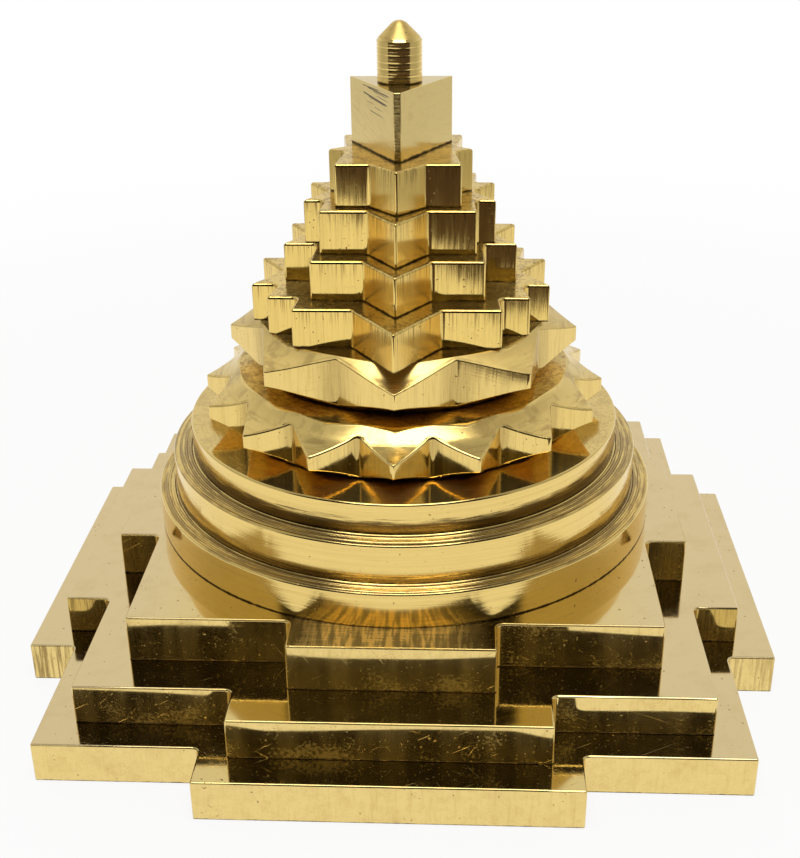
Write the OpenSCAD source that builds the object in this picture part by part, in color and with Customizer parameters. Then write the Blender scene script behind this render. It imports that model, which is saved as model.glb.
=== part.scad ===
// Meru shri yantra: a stepped brass mountain of stacked tiers, clamped by one rod.
// Millimetres. +Z is up, the front points look along -Y,
// and the origin is at the centre of the underside.

/* [Square plates] */
// Width of the square plates, lowest first
plate_width = [90, 80.8, 68.6]; // [64:0.2:96]
// Width of the gates in the middle of each plate's sides
gate_width = [47.4, 40, 26.2]; // [16:0.2:52]
// How far the gates stand out of the square
gate_reach = [6.4, 6.2, 5.7]; // [3:0.1:9]
// Thickness of the plates
plate_thick = [5.6, 5.5, 6.4]; // [5.5:0.1:9]

/* [Girdles] */
// Diameter of the round girdles, lowest first
girdle_dia = [71.4, 66.6, 61]; // [56:0.1:80]
// Height of the girdles
girdle_high = [5, 5.5, 4.3]; // [3:0.1:9]
// Chamfer on the girdles' rims
girdle_chamfer = 0.25; // [0.05:0.05:0.8]

/* [Lotuses] */
// Number of petals, lower lotus first
petals = [16, 8]; // [6:1:20]
// Radius of the petal tips
petal_tip = [28.5, 24.5]; // [22:0.1:32]
// Depth of the notches between the petals
petal_depth = [4.2, 4.3]; // [3:0.1:5.5]
// Distance of the flat top's rim inside the notches
platform_inset = [1.2, 0.3]; // [0:0.1:1.5]
// Distance of the foot inside the notches
foot_inset = [0.4, 1]; // [0:0.1:1.5]
// Height of the lotuses
lotus_high = [7.4, 7.6]; // [7:0.1:9]
// Width of the waste outside the tips, on the turned disc the petals are cut from
disc_waste = 0.4; // [0.2:0.1:1]
// Height of the disc's rim above the foot
disc_rise = [2.5, 2.75]; // [2:0.05:3]
// Thickness of the disc's rim
disc_rim = [1.8, 1.95]; // [1.5:0.05:2.2]
// Radius of the hollows turned above and below the rim
disc_hollow = 11; // [9:0.5:20]

/* [Fourteen triangles] */
// Half angle of the front and rear points
fourteen_point = 33.3; // [25:0.1:40]
// Depth of the point, then of each row, to the middle of the tier
fourteen_step = [8.8, 4.75, 5.2, 5.8]; // [3:0.05:10]
// Length of the straight front edge of each row
fourteen_edge = [7.85, 4.2, 3.85]; // [3:0.05:9]
// Lean of the flank behind each row
fourteen_lean = [5.3, 10.6, 33.1]; // [0:0.1:36]
// Height of the tier
fourteen_high = 5.3; // [3:0.1:9]

/* [Outer ten triangles] */
// Half angle of the front and rear points
outer_point = 34.1; // [25:0.1:40]
// Depth of the point, then of each row, to the middle of the tier
outer_step = [6.5, 7.8, 4.8]; // [3:0.1:9]
// Length of the straight front edge of each row
outer_edge = [7, 4.85]; // [4:0.05:9]
// Lean of the flank behind each row
outer_lean = [3.5, 32.4]; // [0:0.1:36]
// Height of the tier
outer_high = 5.4; // [3:0.1:9]

/* [Inner ten triangles] */
// Half angle of the front and rear points
inner_point = 33.6; // [25:0.1:40]
// Depth of the point, then of each row, to the middle of the tier
inner_step = [5.9, 5.25, 4.65]; // [3:0.05:8]
// Length of the straight front edge of each row
inner_edge = [6.35, 2.95]; // [2.5:0.05:8]
// Lean of the flank behind each row
inner_lean = [4, 33.3]; // [0:0.1:36]
// Height of the tier
inner_high = 5.9; // [3:0.1:9]

/* [Eight triangles] */
// Half angle of the front and rear points
eight_point = 41.4; // [30:0.1:48]
// Depth of the point, of the row, and half the base of the side point
eight_step = [4.1, 6.9, 1.6]; // [1.2:0.1:8]
// Length of the straight front edge of the row
eight_edge = 4.65; // [4:0.05:7]
// Lean of the flank behind the row
eight_lean = 7.2; // [0:0.1:15]
// How far the side points stand out of the flanks
eight_side = 2.4; // [1.5:0.1:4]
// Height of the tier
eight_high = 5.7; // [3:0.1:9]

/* [Trikona and bindu] */
// Width of the trikona across its rear edge
trikona_width = 13.7; // [11:0.1:18]
// Depth of the trikona from its rear edge to its front flat
trikona_depth = 11.65; // [10:0.05:16]
// Width of the narrow flat on the trikona's front point
trikona_flat = 0.9; // [0.2:0.05:2]
// Height of the trikona
trikona_high = 8.8; // [5:0.1:12]
// Diameter of the bindu
bindu_dia = 5.9; // [5.6:0.1:8]
// Height of the bindu's straight side
bindu_side = 5.4; // [4:0.1:9]
// Slope of the bindu's conical crown
crown_slope = 45; // [30:1:50]
// Radius of the rounded tip of the crown
crown_round = 1.55; // [0.5:0.05:2]
// Spacing of the turned lines round the bindu
line_pitch = 0.45; // [0.3:0.05:0.9]
// Depth of the turned lines
line_deep = 0.06; // [0.02:0.01:0.1]

/* [Cutter and clamp] */
// Radius that the cutter leaves in every inner corner
cutter_r = 0.9; // [0.4:0.1:1]
// Diameter of the tie rod
rod_dia = 4; // [3.4:0.1:4]
// Diameter of the clearance holes for the rod
rod_hole = 4.4; // [4.2:0.1:5]
// Diameter of the recess under the lowest plate
recess_dia = 12; // [10:0.5:16]
// Depth of the recess
recess_deep = 4.4; // [4.1:0.1:4.8]
// Outside diameter of the washer
washer_dia = 9; // [8:0.5:9.5]
// Thickness of the washer
washer_thick = 0.8; // [0.5:0.1:0.8]
// Width of the nut across its flats
nut_flats = 7; // [6.5:0.1:7.5]
// Height of the nut
nut_high = 3.2; // [2.2:0.1:3.2]
// Gap between the rod and the threaded pieces on it
thread_gap = 0.05; // [0.02:0.01:0.1]

/* [Hidden] */
$fn = 96;

brass = [0.84, 0.66, 0.30];
bright_brass = [0.90, 0.74, 0.40];
steel = [0.62, 0.63, 0.65];

// Each triangle tier: half angle, steps, edges, leans, side point
fourteen = [fourteen_point, fourteen_step, fourteen_edge, fourteen_lean, 0];
outer_ten = [outer_point, outer_step, outer_edge, outer_lean, 0];
inner_ten = [inner_point, inner_step, inner_edge, inner_lean, 0];
eight = [eight_point, eight_step, [eight_edge], [eight_lean], eight_side];

// The thirteen tiers under the bindu, from the table up, and the height each one stands at
tier_high = concat(plate_thick, girdle_high, lotus_high,
    [fourteen_high, outer_high, inner_high, eight_high, trikona_high]);
function total(v, n) = n == 0 ? 0 : v[n - 1] + total(v, n - 1);
function seat(i) = total(tier_high, i);
bindu_seat = seat(13);
rod_low = 0.3;
rod_top = bindu_seat + bindu_side - 1.2;

// A direction of length one, and a vector turned clockwise
function unit(v) = v / norm(v);
function turned(v, angle) = [v.x * cos(angle) + v.y * sin(angle), v.y * cos(angle) - v.x * sin(angle)];

// A hollow arc of an outline from a to b, its centre on the right of the way
function hollow(a, b, r, steps) =
    let (d = b - a)
    let (half = asin(norm(d) / 2 / r))
    let (c = (a + b) / 2 + unit([d.y, -d.x]) * r * cos(half))
    [for (k = [0:steps]) c + turned(a - c, 2 * half * k / steps)];

// An inner corner b of an outline, between the directions u and v, as the cutter leaves it
function cut_corner(b, u, v) =
    let (far = cutter_r / tan(acos(u * v) / 2))
    hollow(b + u * far, b + v * far, cutter_r, 4);

// An outline, walked anticlockwise, with the cutter's radius in its inner corners
function milled(p) = [
    for (i = [0:len(p) - 1])
        let (a = p[(i + len(p) - 1) % len(p)], b = p[i], c = p[(i + 1) % len(p)])
        each cross(b - a, c - b) < 0 ? cut_corner(b, unit(a - b), unit(c - b)) : [b]
];

// A square with a gate in the middle of each side
function gated_square(half, gate, reach) = [
    for (k = [0:3], p = [[-gate, -reach], [gate, -reach], [gate, -half], [half, -half], [half, -gate]])
        turned(p, -90 * k)
];

// A ring of pointed petals, one of them to the front
function petal_star(count, tip, notch) = [
    for (i = [0:2 * count - 1])
        (i % 2 == 0 ? tip : notch) * [sin(180 * i / count), -cos(180 * i / count)]
];

// Rows of a triangle tier: where each row starts, where its corner is, and how far it is from the middle
function root(t, i) = i == 0 ? t[1][0] * tan(t[0]) : corner(t, i - 1) - t[1][i] * tan(t[3][i - 1]);
function corner(t, i) = root(t, i) + t[2][i];
function reach(t, i) = total(t[1], len(t[1])) - total(t[1], i + 1);

// A quarter of a triangle tier, from the front point round to the right side
function quarter(t) = [
    [0, -total(t[1], len(t[1]))],
    for (i = [0:len(t[2]) - 1], x = [root(t, i), corner(t, i)]) [x, -reach(t, i)],
    [root(t, len(t[2])), -reach(t, len(t[2]))],
    if (t[4] > 0) [root(t, len(t[2])) + t[4], 0]
];

// A quarter repeated by mirroring, front to back and right to left
function all_round(q) = [
    each q,
    for (i = [len(q) - 2:-1:0]) [q[i].x, -q[i].y],
    for (i = [1:len(q) - 1]) [-q[i].x, -q[i].y],
    for (i = [len(q) - 2:-1:1]) [-q[i].x, q[i].y]
];

module rod_way(high) {
    translate([0, 0, -1])
        cylinder(d = rod_hole, h = high + 2);
}

module plate(i) {
    half = plate_width[i] / 2;
    translate([0, 0, seat(i)])
        difference() {
            linear_extrude(plate_thick[i])
                polygon(milled(gated_square(half, gate_width[i] / 2, half + gate_reach[i])));
            rod_way(plate_thick[i]);
        }
}

module girdle(i) {
    r = girdle_dia[i] / 2;
    high = girdle_high[i];
    c = girdle_chamfer;
    translate([0, 0, seat(3 + i)])
        rotate_extrude()
            polygon([[rod_hole / 2, 0], [r, 0], [r, high - c], [r - c, high], [rod_hole / 2, high]]);
}

module lotus(i) {
    tip = petal_tip[i];
    notch = tip - petal_depth[i];
    platform = notch - platform_inset[i];
    foot = notch - foot_inset[i];
    high = lotus_high[i];
    rim_low = [tip + disc_waste, disc_rise[i]];
    rim_top = [tip + disc_waste, disc_rise[i] + disc_rim[i]];
    translate([0, 0, seat(6 + i)])
        intersection() {
            rotate_extrude()
                polygon([
                    [rod_hole / 2, 0],
                    each hollow([foot, 0], rim_low, disc_hollow, 6),
                    each hollow(rim_top, [platform, high], disc_hollow, 6),
                    [rod_hole / 2, high]
                ]);
            linear_extrude(high)
                polygon(milled(petal_star(petals[i], tip, notch)));
        }
}

module triangle_tier(t, i) {
    translate([0, 0, seat(i)])
        difference() {
            linear_extrude(tier_high[i])
                polygon(milled(all_round(quarter(t))));
            rod_way(tier_high[i]);
        }
}

module bhupura_lower() {
    color(brass)
        difference() {
            plate(0);
            translate([0, 0, -1])
                cylinder(d = recess_dia, h = recess_deep + 1);
        }
}

module bhupura_middle() {
    color(brass) plate(1);
}

module bhupura_upper() {
    color(brass) plate(2);
}

module girdle_lower() {
    color(bright_brass) girdle(0);
}

module girdle_middle() {
    color(bright_brass) girdle(1);
}

module girdle_upper() {
    color(bright_brass) girdle(2);
}

module lotus_sixteen() {
    color(brass) lotus(0);
}

module lotus_eight() {
    color(brass) lotus(1);
}

module triangles_fourteen() {
    color(bright_brass) triangle_tier(fourteen, 8);
}

module triangles_ten_outer() {
    color(bright_brass) triangle_tier(outer_ten, 9);
}

module triangles_ten_inner() {
    color(bright_brass) triangle_tier(inner_ten, 10);
}

module triangles_eight() {
    color(bright_brass) triangle_tier(eight, 11);
}

// The trikona's centre of area is on the rod, so a third of its depth lies behind
module trikona() {
    rear = trikona_depth / 3;
    color(brass)
        translate([0, 0, seat(12)])
            difference() {
                linear_extrude(trikona_high)
                    polygon([
                        [-trikona_flat / 2, rear - trikona_depth], [trikona_flat / 2, rear - trikona_depth],
                        [trikona_width / 2, rear], [-trikona_width / 2, rear]
                    ]);
                rod_way(trikona_high);
            }
}

// The bindu is a turned cap nut: a lined side, a conical crown and a rounded tip
module bindu() {
    r = bindu_dia / 2;
    ball_r = crown_round * sin(crown_slope);
    ball_z = bindu_side + (r - ball_r) * tan(crown_slope) - crown_round * cos(crown_slope);
    lines = floor((bindu_side - 0.4) / line_pitch);
    bore = rod_dia / 2 + thread_gap;
    color(bright_brass)
        translate([0, 0, bindu_seat])
            rotate_extrude()
                polygon([
                    [bore, 0],
                    [r, 0],
                    for (k = [1:lines], p = [[0, -0.1], [-line_deep, 0], [0, 0.1]])
                        [r + p.x, k * line_pitch + p.y],
                    [r, bindu_side],
                    for (a = [crown_slope:-crown_slope / 5:0.1])
                        [crown_round * sin(a), ball_z + crown_round * cos(a)],
                    [0, ball_z + crown_round],
                    [0, rod_top - bindu_seat],
                    [bore, rod_top - bindu_seat]
                ]);
}

module tie_rod() {
    r = rod_dia / 2;
    c = 0.4;
    color(steel)
        rotate_extrude()
            polygon([
                [0, rod_low], [r - c, rod_low], [r, rod_low + c],
                [r, rod_top - c], [r - c, rod_top], [0, rod_top]
            ]);
}

module clamp_washer() {
    color(steel)
        translate([0, 0, recess_deep - washer_thick])
            difference() {
                cylinder(d = washer_dia, h = washer_thick);
                rod_way(washer_thick);
            }
}

module clamp_nut() {
    color(steel)
        translate([0, 0, recess_deep - washer_thick - nut_high])
            difference() {
                cylinder(r = nut_flats / sqrt(3), h = nut_high, $fn = 6);
                translate([0, 0, -1])
                    cylinder(r = rod_dia / 2 + thread_gap, h = nut_high + 2);
            }
}

bhupura_lower();
bhupura_middle();
bhupura_upper();
girdle_lower();
girdle_middle();
girdle_upper();
lotus_sixteen();
lotus_eight();
triangles_fourteen();
triangles_ten_outer();
triangles_ten_inner();
triangles_eight();
trikona();
bindu();
tie_rod();
clamp_washer();
clamp_nut();
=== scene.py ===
"""Brass meru shri yantra: hand-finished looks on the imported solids."""

import math

import bmesh
import bpy
from mathutils import Matrix, Vector


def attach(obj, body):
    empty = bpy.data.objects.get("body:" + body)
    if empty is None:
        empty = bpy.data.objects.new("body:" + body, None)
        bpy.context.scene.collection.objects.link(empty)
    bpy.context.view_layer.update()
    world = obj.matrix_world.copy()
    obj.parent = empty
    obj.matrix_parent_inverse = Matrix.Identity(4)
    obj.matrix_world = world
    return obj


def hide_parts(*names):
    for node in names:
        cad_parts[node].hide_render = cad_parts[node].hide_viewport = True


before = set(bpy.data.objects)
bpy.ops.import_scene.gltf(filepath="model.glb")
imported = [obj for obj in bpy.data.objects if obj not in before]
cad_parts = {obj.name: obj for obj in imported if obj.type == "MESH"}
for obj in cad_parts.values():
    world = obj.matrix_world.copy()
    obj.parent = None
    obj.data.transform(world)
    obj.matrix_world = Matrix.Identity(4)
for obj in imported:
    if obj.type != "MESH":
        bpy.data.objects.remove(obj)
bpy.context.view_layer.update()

# Lengths of the pieces are in mm and are multiplied by MM; materials work in metres
MM = 0.001
HAIR = 0.001 * MM
WELD = 0.002 * MM

PLATES = ["bhupura_lower", "bhupura_middle", "bhupura_upper"]
GIRDLES = ["girdle_lower", "girdle_middle", "girdle_upper"]
TRIANGLES = ["triangles_fourteen", "triangles_ten_outer", "triangles_ten_inner", "triangles_eight"]

# Radii shared by the pieces
ROD_HOLE = 2.2
KNOB_BORE = 2.05
CUTTER = 0.9

# Heights in metres: the tops of the plates, and just above the seats of the upper two girdles
LOWER_PLATE_TOP = 0.0056
MIDDLE_PLATE_TOP = 0.0111
UPPER_PLATE_TOP = 0.0175
MIDDLE_GIRDLE_FOOT = 0.0227
UPPER_GIRDLE_FOOT = 0.0285

# Brass as each kind of piece shows it, with a painted sheen on the plates' side tops and a painted lamp glint
# on the rubbed gate
PLATE_GOLD = (0.855, 0.65, 0.25, 1)
SHEEN_PALE_TOP = (0.815, 0.645, 0.355, 1)
GAP_GOLD = (0.56, 0.37, 0.075, 1)
WORN_AND_GLINT_GOLD = (0.95, 0.63, 0.15, 1)
TIER_GOLD = (0.87, 0.63, 0.188, 1)
LATHE_GOLD = (0.86, 0.635, 0.215, 1)
FILED_GOLD = (0.845, 0.65, 0.255, 1)
FILED_GREY = (0.55, 0.43, 0.22, 1)

# What age and polish leave on it, and painted shade: the dark reflection at the girdles' feet, the shade in the
# seams and in the lotus notches
DEEP_BRASS = (0.58, 0.375, 0.11, 1)
BROWNED = (0.34, 0.225, 0.075, 1)
LEDGE_BROWN = (0.40, 0.275, 0.105, 1)
FOOT_REFLECTION_SHADE = (0.12, 0.075, 0.028, 1)
# Tarnish on pits and lines, and painted shade in the lotus notches
TARNISH_AND_SHADE = (0.21, 0.13, 0.04, 1)
# Near black: old polish and painted shade in the seams, and the saw scratches
GRIME_AND_SHADE = (0.018, 0.011, 0.006, 1)

# Heights of relief are in thousandths of a millimetre
MICRON = 1e-6
PIT_DEPTH = 8.0
WIDE_SPREAD = 0.34


# Shader wiring
class Wire:
    """A value in a shader. Arithmetic on it adds Math nodes."""

    def __init__(self, tree, socket):
        self.tree = tree
        self.socket = socket

    def math(self, operation, *values):
        step = self.tree.nodes.new("ShaderNodeMath")
        step.operation = operation
        for slot, value in zip(step.inputs, values):
            if isinstance(value, Wire):
                self.tree.links.new(value.socket, slot)
            else:
                slot.default_value = value
        return Wire(self.tree, step.outputs[0])

    def __add__(self, other):
        return self.math("ADD", self, other)

    __radd__ = __add__

    def __sub__(self, other):
        return self.math("SUBTRACT", self, other)

    def __rsub__(self, other):
        return self.math("SUBTRACT", other, self)

    def __mul__(self, other):
        return self.math("MULTIPLY", self, other)

    __rmul__ = __mul__

    def __truediv__(self, other):
        return self.math("DIVIDE", self, other)

    def __abs__(self):
        return self.math("ABSOLUTE", self)

    def power(self, exponent):
        return self.math("POWER", self, exponent)

    def larger(self, other):
        return self.math("MAXIMUM", self, other)


class Finish:
    """A node tree being wired: one method adds any node."""

    def __init__(self, tree):
        self.tree = tree
        tree.nodes.clear()

    def add(self, kind, settings=None, inputs=None):
        made = self.tree.nodes.new(kind)
        for key, value in (settings or {}).items():
            setattr(made, key, value)
        for key, value in (inputs or {}).items():
            if isinstance(value, Wire):
                self.tree.links.new(value.socket, made.inputs[key])
            else:
                made.inputs[key].default_value = value
        return made

    def wire(self, made, output=0):
        return Wire(self.tree, made.outputs[output])

    def ramp(self, value, low, high):
        """0 below low, 1 above high, eased between."""
        made = self.add("ShaderNodeMapRange", {"interpolation_type": "SMOOTHSTEP"},
                        {"Value": value, "From Min": low, "From Max": high})
        return self.wire(made)

    def noise(self, place, scale, detail=2.0, rough=0.5):
        made = self.add("ShaderNodeTexNoise", {}, {
            "Vector": place, "Scale": scale, "Detail": detail, "Roughness": rough})
        return self.wire(made)

    def vector(self, x, y, z):
        return self.wire(self.add("ShaderNodeCombineXYZ", {}, {"X": x, "Y": y, "Z": z}))

    def split(self, place):
        made = self.add("ShaderNodeSeparateXYZ", {}, {"Vector": place})
        return [self.wire(made, k) for k in range(3)]

    def tint(self, factor, a, b):
        """Colour a where factor is 0, colour b where it is 1."""
        made = self.add("ShaderNodeMix", {"data_type": "RGBA"}, {0: factor, 6: a, 7: b})
        return self.wire(made, 2)


class BrassPlace(Finish):
    """A brass material: the place on the piece, the way it faces, and marks shared by every finish."""

    def __init__(self, name):
        self.material = bpy.data.materials.new(name)
        self.material.use_nodes = True
        super().__init__(self.material.node_tree)
        coords = self.add("ShaderNodeTexCoord")
        self.place = self.wire(coords, "Object")
        self.x, self.y, self.z = self.split(self.place)
        self.facing = self.split(self.wire(coords, "Normal"))
        self.level = self.ramp(abs(self.facing[2]), 0.55, 0.85)
        self.rise, self.drop = (self.wire(self.add("ShaderNodeAttribute", {"attribute_name": word}), "Fac")
                                for word in ("rise", "drop"))

    def stretched(self, scales, detail=2.0, rough=0.5):
        """Noise with its own scale along x, y and z."""
        along_x, along_y, along_z = scales
        return self.noise(self.vector(self.x * along_x, self.y * along_y, self.z * along_z), 1.0, detail, rough)

    def above(self, height, soft):
        """1 above a height and 0 below it, in metres."""
        return self.ramp(self.z, height - soft, height + soft)

    def pits(self, scale, rare):
        """Small casting pits in loose groups, 1 in the middle of a pit."""
        group = self.noise(self.place, scale * 0.13, 2.0, 0.5)
        return self.ramp(self.noise(self.place, scale, 0.0) + (group - 0.5) * 0.35, rare, rare + 0.05)

    def scratches(self, angle, rare):
        """Fine stray scratches that run one way over any face."""
        up = self.y + self.z
        along = self.x * math.cos(angle) + up * math.sin(angle)
        across = up * math.cos(angle) - self.x * math.sin(angle)
        streaks = self.noise(self.vector(along * 170, across * 6500, self.z * 90), 1.0, 1.0, 0.4)
        return self.ramp(streaks, rare, rare + 0.07)

    def seam(self, high):
        """Old polish and painted shade in the seam under the piece, in mm."""
        cloud = self.noise(self.place, 900.0, 3.0, 0.6)
        underside = self.ramp(0 - self.facing[2], 0.85, 0.98)
        return (1 - self.ramp(self.rise + (cloud - 0.5) * high * 1.2, high * 0.3, high)) * (1 - underside)

    def done(self, base, roughness, height, haze, anisotropic=0.0, turn=0.0):
        """A clear reflection, and a wide one over it where the surface is hazy."""
        bump = self.wire(self.add("ShaderNodeBump", {}, {
            "Strength": 1.0, "Distance": MICRON, "Height": height}))
        clear, wide = (self.wire(self.add("ShaderNodeBsdfPrincipled", {}, {
            "Base Color": base, "Metallic": 1.0, "Roughness": spread, "Normal": bump,
            "Anisotropic": anisotropic, "Anisotropic Rotation": turn}))
            for spread in (roughness, roughness + WIDE_SPREAD))
        both = self.add("ShaderNodeMixShader", {}, {0: haze, 1: clear, 2: wide})
        self.add("ShaderNodeOutputMaterial", {}, {"Surface": self.wire(both)})
        return self.material


def plate_brass(name):
    """Square plates: flat polished faces with hand-dressed edges, pits and stray scratches."""
    f = BrassPlace(name)
    lines = f.stretched((2600, 2600, 160), 3.0, 0.65)
    sweep = f.stretched((420, 420, 60))
    bars = f.stretched((1800, 220, 220))
    combed = f.stretched((260, 3800, 3800))
    grit = f.stretched((2100, 2600, 2600), 4.0, 0.7)
    clusters = f.noise(f.place, 190.0, 2.0, 0.5)
    cloud = f.noise(f.place, 260.0, 4.0, 0.6)
    mottle = f.noise(f.place, 1100.0, 4.0, 0.65)
    wave = f.noise(f.place, 45.0, 1.0, 0.4)
    dents = f.noise(f.place, 240.0, 1.0, 0.4)
    lean = f.stretched((24, 24, 70), 1.0, 0.4)
    pits = f.pits(2600.0, 0.83)
    specks = f.pits(3300.0, 0.80) * (1 - f.level * 0.6)
    stray = f.scratches(0.5, 0.75).larger(f.scratches(2.2, 0.77))
    upright = 1 - f.level
    dull = f.ramp(cloud, 0.45, 0.75)
    right = f.ramp(f.x, 0.014, 0.020)
    left = f.ramp(0 - f.x, 0.014, 0.020)
    upper = f.above(MIDDLE_PLATE_TOP, 0.00001)

    # Rough-dressed walls beside the gates of the left and right sides
    gap = f.ramp(abs(f.x), 0.034, 0.038) * f.ramp(f.y, -0.036, -0.030) * f.ramp(abs(f.facing[1]), 0.6, 0.8)
    gap = gap * upright

    # The rubbed patch on the front gate of the upper plate, with a painted lamp glint in ripples over its
    # colour
    rubbed_and_glint = f.ramp(0 - f.y, 0.029, 0.035) * (1 - f.ramp(abs(f.x + 0.001), 0.006, 0.014))
    rubbed_and_glint = rubbed_and_glint * f.above(UPPER_PLATE_TOP - 0.00025, 0.00025) * f.level
    rubbed_and_glint = rubbed_and_glint * (0.40 + f.ramp(bars + (combed - 0.5) * 0.35, 0.34, 0.66) * 0.55)

    # Dried polish in clusters, most of it low down on the upright faces
    low_down = 1 - f.ramp(f.rise, 0.6, 4.6)
    ahead = f.ramp(0 - f.y, 0.026, 0.032)
    gritty = f.ramp(grit + (clusters - 0.5) * 0.9 + upright * low_down * 0.12, 0.66, 0.78)
    gritty = gritty * (upright * 0.7 + f.level * ahead * 0.12)

    base = f.tint(f.ramp(lines, 0.50, 0.80) * upright * 0.35, PLATE_GOLD, DEEP_BRASS)
    # Painted sheen: the level tops towards the sides of the plates are made paler, standing in for the white
    # floor's reflection
    base = f.tint(f.level * f.ramp(abs(f.x), 0.020, 0.036) * 0.85, base, SHEEN_PALE_TOP)
    base = f.tint(f.above(LOWER_PLATE_TOP, 0.0001) * gap * 0.8, base, GAP_GOLD)
    base = f.tint(f.ramp(lines, 0.44, 0.64) * gap * (0.70 - f.ramp(f.x, 0.0, 0.01) * 0.35), base, TARNISH_AND_SHADE)
    # Painted glint: the rubbed patch is tinted a rippled saturated gold where the lamp's glint shows
    base = f.tint(rubbed_and_glint, base, WORN_AND_GLINT_GOLD)
    base = f.tint(dull * 0.16 + f.ramp(mottle, 0.42, 0.70) * upright * 0.22, base, DEEP_BRASS)
    base = f.tint(pits * 0.7, base, TARNISH_AND_SHADE)
    # Painted shade and old polish in the seam at the foot
    base = f.tint(f.seam(0.24) * 0.95, base, GRIME_AND_SHADE)

    haze = upright * (0.03 + f.ramp(sweep, 0.35, 0.75) * 0.12)
    haze = haze + gap * (0.12 + f.ramp(lines, 0.45, 0.68) * 0.30)
    haze = haze + upright * upper * (1 - f.ramp(abs(f.x), 0.0138, 0.0142)) * 0.07
    haze = haze + dull * 0.02 + rubbed_and_glint * 0.90 + specks * 0.65 + stray * 0.40 + gritty * 0.42
    roughness = 0.07 + (lines - 0.5) * 0.05 * upright + dull * 0.05 + stray * 0.10 + pits * 0.25 + rubbed_and_glint * 0.24

    # The upright faces lean a little, less on the right of the two lower plates
    fall = 48.0 + left * 42.0 - right * (60.0 - upper * 105.0)
    height = (lines - 0.5) * upright * 2.0 + (sweep - 0.5) * upright * 5.0 + (wave - 0.5) * 190.0
    height = height + (dents - 0.5) * 10.0 - pits * PIT_DEPTH - stray * 4.0
    height = height + upright * f.rise * (fall + (lean - 0.5) * 170.0)
    return f.done(base, roughness, height, haze)


def triangle_brass(name):
    """Triangle tiers: belt-linished upright faces with fine lines, and browned tops."""
    f = BrassPlace(name)
    lines = f.stretched((3600, 3600, 120), 3.0, 0.65)
    sweep = f.stretched((900, 900, 70))
    cloud = f.noise(f.place, 520.0, 4.0, 0.62)
    grain = f.noise(f.place, 2400.0, 3.0, 0.65)
    wave = f.noise(f.place, 110.0, 1.0, 0.4)
    pits = f.pits(2900.0, 0.82)
    upright = 1 - f.level
    slanted = f.ramp(abs(f.facing[0]), 0.3, 0.5) * upright
    comb = f.ramp(lines, 0.48, 0.64) * (1 - f.ramp(f.drop + (sweep - 0.5) * 3.4, 0.2, 2.8)) * upright
    base = f.tint(f.ramp(lines, 0.48, 0.80) * upright * 0.50, TIER_GOLD, DEEP_BRASS)
    base = f.tint(comb * 0.55, base, TARNISH_AND_SHADE)
    base = f.tint(f.ramp(grain + (cloud - 0.5) * 0.8, 0.46, 0.66) * f.level * 0.75, base, BROWNED)
    base = f.tint(f.ramp(cloud, 0.55, 0.80) * upright * 0.30, base, DEEP_BRASS)
    base = f.tint(pits * 0.8, base, TARNISH_AND_SHADE)
    # Painted shade and old polish in the seam at the foot
    base = f.tint(f.seam(0.34) * 0.97, base, GRIME_AND_SHADE)
    roughness = 0.10 + (lines - 0.5) * 0.14 + (sweep - 0.5) * 0.08
    roughness = roughness + f.level * 0.10 + pits * 0.2 + slanted * 0.06
    height = (lines - 0.5) * upright * 6.0 + (sweep - 0.5) * upright * 10.0 + (wave - 0.5) * 75.0
    height = height + (grain - 0.5) * f.level * 5.0 - pits * PIT_DEPTH
    haze = 0.02 + f.ramp(sweep, 0.4, 0.8) * 0.07 + f.level * 0.20 + slanted * 0.16
    return f.done(base, roughness, height, haze, 0.55)


class TurnedPlace(BrassPlace):
    """Work off the lathe: places and marks that run in rings round the rod."""

    def __init__(self, name):
        super().__init__(name)
        self.radius = (self.x * self.x + self.y * self.y).power(0.5).larger(0.0005)
        self.east, self.north = self.x / self.radius, self.y / self.radius
        self.ring = self.radius + self.z * 1.27
        self.wall = 1 - self.ramp(abs(self.facing[2]), 0.25, 0.50)
        self.flat = self.ramp(abs(self.facing[2]), 0.985, 0.997)
        self.fine = self.ringed(7000, 1.1, 3.0, 0.6)
        self.wide = self.ringed(1700, 0.7, 2.0, 0.5)
        self.broken = self.ringed(3000, 6.0, 3.0, 0.6)
        self.cloud = self.noise(self.place, 480.0, 4.0, 0.62)
        self.grain = self.noise(self.place, 2300.0, 3.0, 0.65)
        self.wave = self.noise(self.place, 85.0, 1.0, 0.4)
        self.deep_pits = self.pits(2700.0, 0.83)

    def ringed(self, closeness, breaks, detail, rough):
        """Tool lines round the rod, broken up along their way."""
        way = self.vector(self.ring * closeness, self.east * breaks, self.north * breaks)
        return self.noise(way, 1.0, detail, rough)

    def lathe_base(self, lined):
        """Turned brass with darker lines and pits."""
        base = self.tint(self.ramp(self.fine, 0.48, 0.76) * lined, LATHE_GOLD, DEEP_BRASS)
        base = self.tint(self.ramp(self.broken, 0.58, 0.74) * 0.30, base, DEEP_BRASS)
        return self.tint(self.deep_pits * 0.7, base, TARNISH_AND_SHADE)

    def browned(self, base, share):
        """Brown speckles on the level faces."""
        spots = self.ramp(self.grain + (self.cloud - 0.5) * 0.9, 0.42, 0.64)
        return self.tint(spots * self.flat * share, base, BROWNED)


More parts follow.
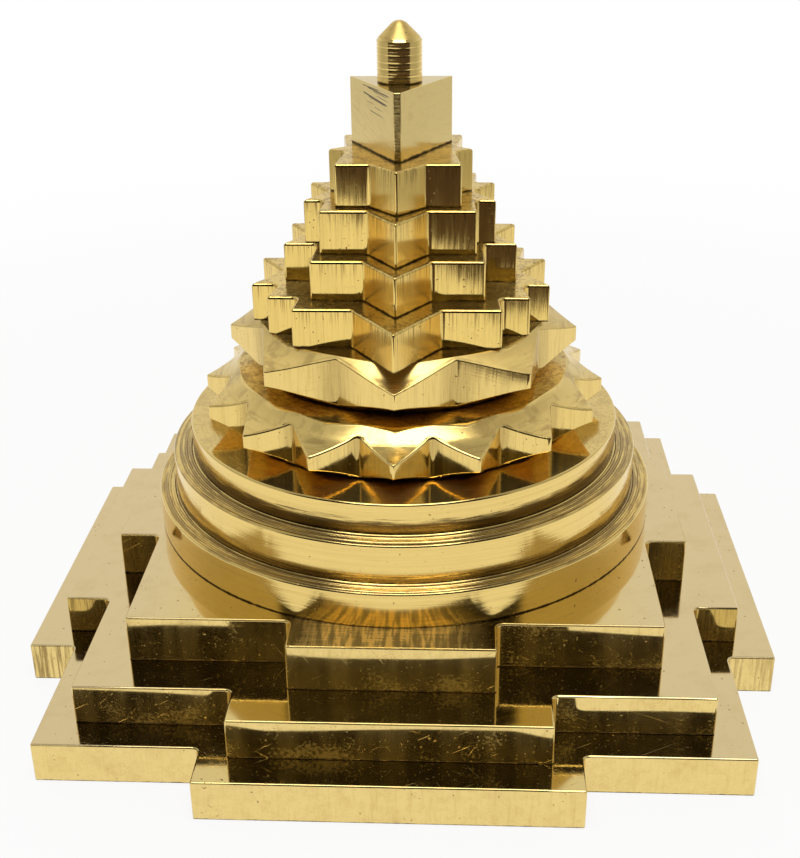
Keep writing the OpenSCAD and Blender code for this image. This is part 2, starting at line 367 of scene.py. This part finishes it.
def girdle_brass(name):
    """Three discs: bright sides with a dark streaked foot of painted reflection, and dull tooled ledges."""
    f = TurnedPlace(name)
    ledge = f.ramp(f.radius, 0.0303, 0.0306) * f.ramp(f.facing[2], 0.55, 0.70)
    # Painted reflection: the lower part of each side is darkened, standing in for the dark ledge below mirrored
    # in it
    high = 1.0 + f.above(UPPER_GIRDLE_FOOT, 0.0005) * 0.8
    foot = 1 - f.ramp(f.rise / high + (f.broken - 0.5) * 2.0, 0.70, 1.25)
    foot = foot * f.above(MIDDLE_GIRDLE_FOOT, 0.0005) * f.wall
    base = f.browned(f.lathe_base(0.35), 0.30)
    base = f.tint(f.ramp(f.broken + (f.wide - 0.5) * 0.6, 0.38, 0.60) * ledge * 0.85, base, LEDGE_BROWN)
    base = f.tint(foot * 0.88, base, FOOT_REFLECTION_SHADE)
    # Painted shade and old polish in the seam at the foot
    base = f.tint(f.seam(0.30) * 0.95, base, GRIME_AND_SHADE)
    roughness = 0.10 + (f.fine - 0.5) * 0.12 + (f.wide - 0.5) * 0.08 + f.deep_pits * 0.2
    roughness = roughness + ledge * 0.06 + foot * 0.06
    height = (f.fine - 0.5) * 4.0 + (f.wide - 0.5) * 10.0 + (f.broken - 0.5) * 2.5 + (f.wave - 0.5) * 60.0
    haze = 0.03 + f.ramp(f.wide, 0.45, 0.75) * 0.10 * f.wall + ledge * 0.10 + f.flat * 0.06
    return f.done(base, roughness, height - f.deep_pits * PIT_DEPTH, haze, 0.75, 0.25)


def petal_brass(name, notch, satin):
    """Lotus rings: turned tops, walls with upright lines, and painted shade in the notches."""
    f = TurnedPlace(name)
    lines = f.stretched((3600, 3600, 150), 3.0, 0.65)
    sweep = f.stretched((900, 900, 90))
    f.fine = f.fine + (lines - f.fine) * f.wall
    f.wide = f.wide + (sweep - f.wide) * f.wall
    slope = (1 - f.wall) * (1 - f.flat)
    # Painted shade: walls are darkened with streaks towards the notches
    notch_shade = 1 - f.ramp(f.radius + (sweep - 0.5) * 0.0012, (notch + 0.05) * MM, (notch + 1.3) * MM)
    base = f.browned(f.lathe_base(0.55), 0.75)
    base = f.tint(f.ramp(f.broken, 0.50, 0.66) * slope * 0.40, base, BROWNED)
    base = f.tint(notch_shade * f.wall * (0.15 + lines * 0.5), base, TARNISH_AND_SHADE)
    # Painted shade and old polish in the seam at the foot
    base = f.tint(f.seam(0.30) * 0.95, base, GRIME_AND_SHADE)
    roughness = 0.11 + (f.fine - 0.5) * 0.12 + (f.wide - 0.5) * 0.10 + f.deep_pits * 0.2
    roughness = roughness + f.flat * 0.10 + slope * satin
    height = (f.fine - 0.5) * (4.0 + slope * 3.0) + (f.wide - 0.5) * (10.0 + slope * 5.0)
    height = height + (f.broken - 0.5) * 2.0 + (f.wave - 0.5) * 60.0 - f.deep_pits * PIT_DEPTH
    haze = 0.04 + f.ramp(f.wide, 0.45, 0.75) * 0.14 * (1 - f.flat) + f.flat * 0.22 + slope * 0.06
    return f.done(base, roughness, height, haze, 0.75)


def knob_brass(name):
    """The bindu: rings on its side, and a satin crown."""
    f = TurnedPlace(name)
    crown = 1 - f.ramp(f.drop, 1.9, 2.2)
    # Painted shade and old polish in the seam at the foot
    base = f.tint(f.seam(0.30) * 0.95, f.lathe_base(0.45), GRIME_AND_SHADE)
    roughness = 0.12 + (f.fine - 0.5) * 0.12 + (f.wide - 0.5) * 0.10 + crown * 0.36
    height = (f.fine - 0.5) * 4.0 + (f.wide - 0.5) * 10.0 + (f.broken - 0.5) * 4.0 - f.deep_pits * PIT_DEPTH
    return f.done(base, roughness, height, 0.06 + f.ramp(f.wide, 0.45, 0.75) * 0.12, 0.6, 0.25)


# Each saw scratch: where it starts and ends, as shares of the left face from rear to front,
# its drop below the top at both ends, and its half width, in mm
SAW_SCRATCHES = [
    (0.30, 0.90, 1.32, 2.02, 0.060), (0.42, 0.86, 1.64, 2.12, 0.035), (0.40, 0.94, 0.53, 0.76, 0.050),
    (0.52, 0.90, 0.76, 0.98, 0.030), (0.28, 0.74, 0.44, 0.42, 0.035), (0.45, 0.79, 3.36, 3.70, 0.035),
    (0.60, 0.92, 1.20, 1.46, 0.025), (0.55, 0.80, 2.70, 2.98, 0.022), (0.38, 0.60, 2.30, 2.48, 0.020)]


def trikona_brass(name):
    """The top block: dull filed faces, saw scratches on its left face and a rough front flat."""
    f = BrassPlace(name)
    depths = [v.co.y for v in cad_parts["trikona"].data.vertices]
    share = (max(depths) - f.y) / (max(depths) - min(depths))
    left = f.ramp(0 - f.facing[0], 0.5, 0.7)
    right = f.ramp(f.facing[0], 0.5, 0.7)
    front = f.ramp(0 - f.facing[1], 0.85, 0.95)
    sawn = 0.0 * left
    for start, end, high, low, half in SAW_SCRATCHES:
        middle = high + (share - start) * ((low - high) / (end - start))
        mark = (1 - f.ramp(abs(f.drop - middle), half, half * 2.2)) * f.ramp(share, start, start + 0.06)
        sawn = sawn.larger(mark * (1 - f.ramp(share, end - 0.10, end)) * left)
    along, across = f.y * 0.94 + f.z * 0.35, f.z * 0.94 - f.y * 0.35
    file_lines = f.noise(f.vector(along * 300, across * 3000, f.x * 40), 1.0, 3.0, 0.6)
    filed = f.noise(f.vector(f.x * 900 + f.z * 500, f.y * 900, f.z * 2600), 1.0, 3.0, 0.6)
    chatter = f.stretched((900, 900, 3200), 3.0, 0.7)
    cloud = f.noise(f.place, 330.0, 4.0, 0.6)
    wave = f.noise(f.place, 120.0, 1.0, 0.4)
    base = f.tint(f.ramp(file_lines, 0.46, 0.78) * left * 0.35, FILED_GOLD, FILED_GREY)
    base = f.tint(f.ramp(filed, 0.5, 0.8) * right * 0.30, base, DEEP_BRASS)
    base = f.tint(sawn * 0.90, base, GRIME_AND_SHADE)
    base = f.tint(f.ramp(chatter, 0.40, 0.62) * front * 0.85, base, TARNISH_AND_SHADE)
    base = f.tint(f.ramp(cloud, 0.52, 0.80) * 0.30, base, DEEP_BRASS)
    # Painted shade and old polish in the seam at the foot
    base = f.tint(f.seam(0.40) * 0.97, base, GRIME_AND_SHADE)
    roughness = 0.16 + (file_lines - 0.5) * left * 0.16 + left * 0.08
    roughness = roughness + (filed - 0.5) * right * 0.08 + front * 0.2
    height = (file_lines - 0.5) * left * 6.0 - sawn * 12.0 + (filed - 0.5) * right * 2.0
    height = height + (chatter - 0.5) * front * 60.0 + (wave - 0.5) * 45.0
    return f.done(base, roughness, height, 0.10 + left * 0.12)


def plated_steel(name):
    """Zinc-plated steel of the clamp under the base."""
    material = bpy.data.materials.new(name)
    material.use_nodes = True
    f = Finish(material.node_tree)
    place = f.wire(f.add("ShaderNodeTexCoord"), "Object")
    cloud = f.noise(place, 900.0, 4.0, 0.6)
    grit = f.noise(place, 5200.0, 2.0, 0.5)
    base = f.tint(cloud, (0.62, 0.64, 0.67, 1), (0.48, 0.49, 0.50, 1))
    bump = f.add("ShaderNodeBump", {}, {"Strength": 0.5, "Distance": 10 * MICRON, "Height": grit})
    shader = f.add("ShaderNodeBsdfPrincipled", {}, {
        "Base Color": base, "Metallic": 1.0, "Roughness": 0.3 + cloud * 0.16, "Normal": f.wire(bump)})
    f.add("ShaderNodeOutputMaterial", {}, {"Surface": f.wire(shader)})
    return material


# Pieces
CORNER = math.radians(26)


def finished(bm, name, node, material, sharp=50):
    """Turns a bmesh into the piece that stands for a CAD node. Edges over sharp degrees stay crisp."""
    mesh = bpy.data.meshes.new(name)
    bm.to_mesh(mesh)
    bm.free()
    mesh.shade_smooth()
    mesh.set_sharp_from_angle(angle=math.radians(sharp))
    heights = [v.co.z / MM for v in mesh.vertices]
    low, top = min(heights), max(heights)
    for word, values in (("rise", [h - low for h in heights]), ("drop", [top - h for h in heights])):
        mesh.attributes.new(word, "FLOAT", "POINT").data.foreach_set("value", values)
    mesh.materials.append(material)
    piece = bpy.data.objects.new(name, mesh)
    bpy.context.scene.collection.objects.link(piece)
    weighted = piece.modifiers.new("even_shading", "WEIGHTED_NORMAL")
    weighted.keep_sharp = True
    weighted.weight = 90
    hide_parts(node)
    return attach(piece, "root")


def solid_copy(node):
    """A CAD solid as one joined mesh with whole flat faces."""
    bm = bmesh.new()
    bm.from_mesh(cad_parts[node].data)
    bmesh.ops.remove_doubles(bm, verts=bm.verts, dist=WELD)
    bmesh.ops.dissolve_limit(bm, angle_limit=math.radians(0.5), verts=bm.verts, edges=bm.edges)
    return bm


def bevel(bm, edges, width, segments):
    """Rounds edges by a width in mm."""
    bmesh.ops.bevel(bm, geom=edges, offset=width * MM, offset_type="OFFSET", segments=segments,
                    profile=0.5, affect="EDGES", material=-1, clamp_overlap=False)


def soften(bm, rim, foot):
    """Rounds the upright corners and the top edge, then the foot, as hand polishing does."""
    heights = [v.co.z for v in bm.verts]
    low, top = min(heights), max(heights)
    bore = (ROD_HOLE + 0.2) * MM

    def outer(chosen):
        return [e for e in bm.edges
                if e.is_manifold and e.calc_face_angle() > CORNER
                and any(v.co.xy.length > bore for v in e.verts) and chosen(*(v.co.z for v in e.verts))]

    bevel(bm, outer(lambda a, b: max(a, b) > top - HAIR), rim, 5)
    bevel(bm, outer(lambda a, b: max(a, b) < low + HAIR), foot, 2)


def extent(node):
    """Radius, foot and top of a round CAD node."""
    points = [v.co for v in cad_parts[node].data.vertices]
    heights = [p.z / MM for p in points]
    return max(p.xy.length for p in points) / MM, min(heights), max(heights)


def spun(outline, steps):
    """A closed outline of (radius, height), turned once round the rod."""
    bm = bmesh.new()
    points = [bm.verts.new((r * MM, 0, z * MM)) for r, z in outline]
    edges = [bm.edges.new((a, b)) for a, b in zip(points, points[1:] + points[:1])]
    bmesh.ops.spin(bm, geom=points + edges, cent=(0, 0, 0), axis=(0, 0, 1), angle=2 * math.pi,
                   steps=steps, use_merge=True)
    bmesh.ops.remove_doubles(bm, verts=bm.verts, dist=WELD)
    bmesh.ops.dissolve_degenerate(bm, edges=bm.edges, dist=HAIR)
    bmesh.ops.recalc_face_normals(bm, faces=bm.faces)
    return bm


def arc(centre, radius, start, end, steps):
    """Points of an arc about a centre, from one angle to another in degrees."""
    angles = [math.radians(start + (end - start) * k / steps) for k in range(steps + 1)]
    return [(centre[0] + radius * math.cos(a), centre[1] + radius * math.sin(a)) for a in angles]


def girdle_outline(node, tooled, pitch, deep):
    """A disc with a rounded rim, and rings left by the tool on its top between two radii."""
    radius, low, top = extent(node)
    rim, foot, fine = 0.30, 0.14, 8
    outline = [(ROD_HOLE, low)]
    outline += arc((radius - foot, low + foot), foot, -90, 0, 4)
    outline += arc((radius - rim, top - rim), rim, 0, 90, 8)
    if tooled:
        inner, outer = tooled
        count = round((outer - inner) / pitch)
        for k in range(count * fine, -1, -1):
            r = inner + (outer - inner) * k / count / fine
            size = deep * (0.65 + 0.35 * math.sin(k / fine * 2.4 + 1.0))
            outline.append((r, top - size * (0.5 - 0.5 * math.cos(2 * math.pi * k / fine))))
    outline.append((ROD_HOLE, top))
    return outline


class Hollow:
    """A hollow arc from a to b in a lathe profile; its height is asked for by radius."""

    def __init__(self, a, b, size):
        a, b = Vector(a), Vector(b)
        way = b - a
        aside = Vector((way.y, -way.x)).normalized()
        self.centre = (a + b) / 2 + aside * math.sqrt(size ** 2 - way.length_squared / 4)
        self.size = size
        self.side = math.copysign(1, a.y - self.centre.y)

    def height(self, r):
        return self.centre.y + self.side * math.sqrt(self.size ** 2 - (r - self.centre.x) ** 2)


class Petals:
    """The cut edge of a ring of petals: straight walls from each tip to a notch with the cutter's radius."""

    def __init__(self, count, tip, notch):
        self.half = math.pi / count
        point = Vector((tip, 0))
        root = Vector((notch * math.cos(self.half), notch * math.sin(self.half)))
        way = (root - point).normalized()
        self.away = math.atan2(-way.x, way.y)
        self.wall = tip * math.cos(self.away)
        lean = math.pi - math.atan2(way.y, way.x) + self.half
        self.centre = notch + CUTTER / math.sin(lean)
        self.reach = math.atan2(CUTTER * math.cos(lean), self.centre - CUTTER * math.sin(lean))

    def turn(self, place):
        """The angle of a place from the middle of its petal."""
        angle = math.atan2(place.y, place.x) + self.half
        return abs(angle % (2 * self.half) - self.half)

    def radius(self, place):
        """How far out the cut edge is in the direction of a place."""
        turn = self.turn(place)
        aside = self.half - turn
        if aside < self.reach:
            return self.centre * math.cos(aside) - math.sqrt(CUTTER ** 2 - (self.centre * math.sin(aside)) ** 2)
        return self.wall / math.cos(turn - self.away)


def petal_ring(node, count, tip, notch, platform, foot, rise, rim, soft):
    """A lotus: turned with hollows above and below, drawn in to petals and softened along the cut edges."""
    seat, high = extent(node)[1], extent(node)[2] - extent(node)[1]
    brim, hollow, edge, rings, steps = tip + 0.4, 11, 0.30, 6, 384
    under = Hollow((foot, 0), (brim, rise), hollow)
    over = Hollow((brim, rise + rim), (platform, high), hollow)
    petals = Petals(count, tip, notch)

    def shoulder(outer, inner):
        return outer - min(edge, 0.8 * (outer - inner))

    def inward(inner):
        return [shoulder(tip, inner) + (inner - shoulder(tip, inner)) * k / rings for k in range(rings)]

    outline = [(ROD_HOLE, 0), (foot, 0)] + [(r, under.height(r)) for r in reversed(inward(foot))]
    outline += [(tip, under.height(tip)), (tip, over.height(tip))]
    outline += [(r, over.height(r)) for r in inward(platform)] + [(platform, high), (ROD_HOLE, high)]
    bm = spun([(r, seat + h) for r, h in outline], steps)
    wall = [e for e in bm.edges if all(v.co.xy.length > (tip - 0.01) * MM for v in e.verts)]
    cut = [e for e in wall if abs(e.verts[0].co.z - e.verts[1].co.z) < HAIR
           or petals.turn(e.verts[0].co) < 0.001]
    middle = seat + (under.height(tip) + over.height(tip)) / 2
    for v in bm.verts:
        r = v.co.xy.length / MM
        inner, side = (platform, over) if v.co.z > middle * MM else (foot, under)
        if r > inner + 0.001:
            outer = petals.radius(v.co)
            share = (r - inner) / (shoulder(tip, inner) - inner)
            drawn = outer if share > 1.001 else inner + share * (shoulder(outer, inner) - inner)
            v.co = (v.co.x * drawn / r, v.co.y * drawn / r, (seat + side.height(drawn)) * MM)
    bevel(bm, cut, soft, 4)
    return bm


# Each turned line on the knob: its height above the foot, and its depth
KNOB_LINES = [(0.50, 0.018), (0.92, 0.032), (1.30, 0.012), (1.85, 0.028), (2.21, 0.010), (2.66, 0.024),
              (3.10, 0.008), (3.62, 0.020), (4.02, 0.010), (4.55, 0.024), (4.92, 0.010)]


def bindu_outline():
    """The knob: a side with uneven turned lines, a small step and a smooth rounded crown."""
    radius, low, top = extent("bindu")
    side, inside, slope, blunt = low + 5.4, low + 4.2, math.radians(45), 1.55
    foot, shoulder, step = 0.12, 0.15, 0.22
    outline = [(KNOB_BORE, low)] + arc((radius - foot, low + foot), foot, -90, 0, 3)
    for rise, deep in KNOB_LINES:
        middle = low + rise
        outline += [(radius, middle - 0.13), (radius - deep * 0.6, middle - 0.05), (radius - deep, middle),
                    (radius - deep * 0.6, middle + 0.05), (radius, middle + 0.13)]
    outline += arc((radius - shoulder, side - shoulder), shoulder, 0, 60, 4)
    ball = top - blunt
    inner = blunt * math.sin(slope)
    for k in range(7):
        r = inner + (radius - step - inner) * (1 - k / 6)
        outline.append((r, ball + blunt * math.cos(slope) - (r - inner) * math.tan(slope)))
    turns = [slope * (1 - k / 8) for k in range(1, 9)]
    outline += [(blunt * math.sin(a), ball + blunt * math.cos(a)) for a in turns]
    return outline + [(0, inside), (KNOB_BORE, inside)]


steel = plated_steel("plated_steel")
plates = plate_brass("plate_brass")
linished = triangle_brass("linished_brass")
rings = girdle_brass("girdle_brass")

for node in PLATES:
    piece = solid_copy(node)
    soften(piece, rim=0.28, foot=0.12)
    finished(piece, "polished_" + node, node, plates)

for node in TRIANGLES:
    piece = solid_copy(node)
    soften(piece, rim=0.40, foot=0.15)
    finished(piece, "polished_" + node, node, linished)

piece = solid_copy("trikona")
soften(piece, rim=0.15, foot=0.10)
finished(piece, "filed_trikona", "trikona", trikona_brass("filed_brass"))

for node, tooled in zip(GIRDLES, [(33.3, 35.3), (30.5, 32.9), None]):
    piece = spun(girdle_outline(node, tooled, pitch=0.36, deep=0.10), 288)
    finished(piece, "turned_" + node, node, rings, sharp=60)

piece = petal_ring("lotus_sixteen", count=16, tip=28.5, notch=24.3, platform=23.1, foot=23.9,
                   rise=2.5, rim=1.8, soft=0.24)
finished(piece, "polished_lotus_sixteen", "lotus_sixteen",
         petal_brass("sixteen_brass", notch=24.3, satin=0.06))
piece = petal_ring("lotus_eight", count=8, tip=24.5, notch=20.2, platform=19.9, foot=19.2,
                   rise=2.75, rim=1.95, soft=0.17)
finished(piece, "polished_lotus_eight", "lotus_eight",
         petal_brass("eight_brass", notch=20.2, satin=0.18))

piece = spun(bindu_outline(), 128)
finished(piece, "turned_bindu", "bindu", knob_brass("knob_brass"), sharp=60)

piece = solid_copy("clamp_nut")
bevel(piece, [e for e in piece.edges if e.calc_face_angle() > CORNER], 0.12, 2)
finished(piece, "chamfered_clamp_nut", "clamp_nut", steel)

for node in ["tie_rod", "clamp_washer"]:
    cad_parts[node].data.materials.clear()
    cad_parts[node].data.materials.append(steel)


# Studio
PAPER_OUTLINE = [(-0.22, -0.245), (-0.03, -0.245), (0.05, -0.11), (0.20, -0.14), (0.22, 0.10),
                 (0.60, 1.40), (-0.60, 1.40), (-0.22, 0.10)]
PAPER_DROP = 0.00005


def paper_floor():
    """A white sheet under and behind the piece, which ends in front of it and at its sides."""
    bm = bmesh.new()
    bm.faces.new([bm.verts.new((x, y, -PAPER_DROP)) for x, y in PAPER_OUTLINE])
    mesh = bpy.data.meshes.new("paper_floor")
    bm.to_mesh(mesh)
    bm.free()
    material = bpy.data.materials.new("white_paper")
    material.use_nodes = True
    f = Finish(material.node_tree)
    path = f.add("ShaderNodeLightPath")
    seen = f.wire(path, "Is Camera Ray").larger(f.wire(path, "Is Glossy Ray"))
    seen = seen.larger(f.wire(path, "Is Transmission Ray"))
    x, y, _ = f.split(f.wire(f.add("ShaderNodeTexCoord"), "Object"))
    far = f.ramp((x * x + y * y).power(0.5), 0.08, 0.30)
    diffuse = f.add("ShaderNodeBsdfDiffuse", {}, {"Color": (0.94, 0.94, 0.94, 1)})
    white = f.add("ShaderNodeEmission", {}, {"Color": (1, 1, 1, 1), "Strength": 1.0})
    both = f.add("ShaderNodeMixShader", {}, {
        0: seen * (0.86 + far * 0.14), 1: f.wire(diffuse), 2: f.wire(white)})
    f.add("ShaderNodeOutputMaterial", {}, {"Surface": f.wire(both)})
    mesh.materials.append(material)
    floor = bpy.data.objects.new("paper_floor", mesh)
    bpy.context.scene.collection.objects.link(floor)


def studio_world():
    """Pale walls behind and beside the piece, and a dim room on the camera's side."""
    world = bpy.data.worlds.new("studio")
    bpy.context.scene.world = world
    world.use_nodes = True
    f = Finish(world.node_tree)
    x, y, z = f.split(f.wire(f.add("ShaderNodeTexCoord"), "Generated"))
    across = (x * x + y * y).power(0.5).larger(0.001)
    toward = (0 - y) / across
    front = f.ramp(toward, 0.50, 0.58) * (1 - f.ramp(z, 0.80, 0.93))
    dim = f.tint(f.ramp(z, -0.10, 0.05), (0.075, 0.050, 0.042, 1), (0.010, 0.009, 0.008, 1))
    wall = f.tint(f.ramp(y, 0.0, 0.9), (0.50, 0.50, 0.50, 1), (0.80, 0.80, 0.80, 1))
    above = f.tint(f.ramp(z, 0.70, 0.92), wall, (0.38, 0.38, 0.37, 1))
    room = f.tint(front, above, dim)
    light = f.add("ShaderNodeBackground", {}, {"Color": room, "Strength": 1.0})
    f.add("ShaderNodeOutputWorld", {}, {"Surface": f.wire(light)})


def softbox(name, place, target, size, watts):
    """A soft rectangular lamp that points at a target."""
    lamp = bpy.data.lights.new(name, "AREA")
    lamp.shape = "RECTANGLE"
    lamp.size, lamp.size_y = size
    lamp.energy = watts
    holder = bpy.data.objects.new(name, lamp)
    holder.location = place
    holder.rotation_euler = (Vector(target) - Vector(place)).to_track_quat("-Z", "Y").to_euler()
    bpy.context.scene.collection.objects.link(holder)


def camera():
    """The photograph's viewpoint: 25 degrees down, a little to the right of the middle."""
    lens = bpy.data.cameras.new("viewpoint")
    lens.sensor_fit = "VERTICAL"
    lens.sensor_height = 36.0
    lens.sensor_width = 36.0
    lens.lens = 55.07
    lens.clip_start = 0.005
    holder = bpy.data.objects.new("viewpoint", lens)
    turn = Matrix.Rotation(math.radians(2.911), 4, "Z")
    tip = Matrix.Rotation(math.radians(90 - 25.408), 4, "X")
    roll = Matrix.Rotation(math.radians(-0.705), 4, "Z")
    holder.matrix_world = Matrix.Translation((0.008298, -0.173575, 0.110824)) @ turn @ tip @ roll
    bpy.context.scene.collection.objects.link(holder)
    bpy.context.scene.camera = holder


paper_floor()
studio_world()
softbox("ceiling_panel", place=(0.005, -0.18, 0.60), target=(0.005, -0.08, 0.0), size=(0.40, 0.36), watts=2.0)
camera()
bpy.context.scene.view_settings.view_transform = "Standard"
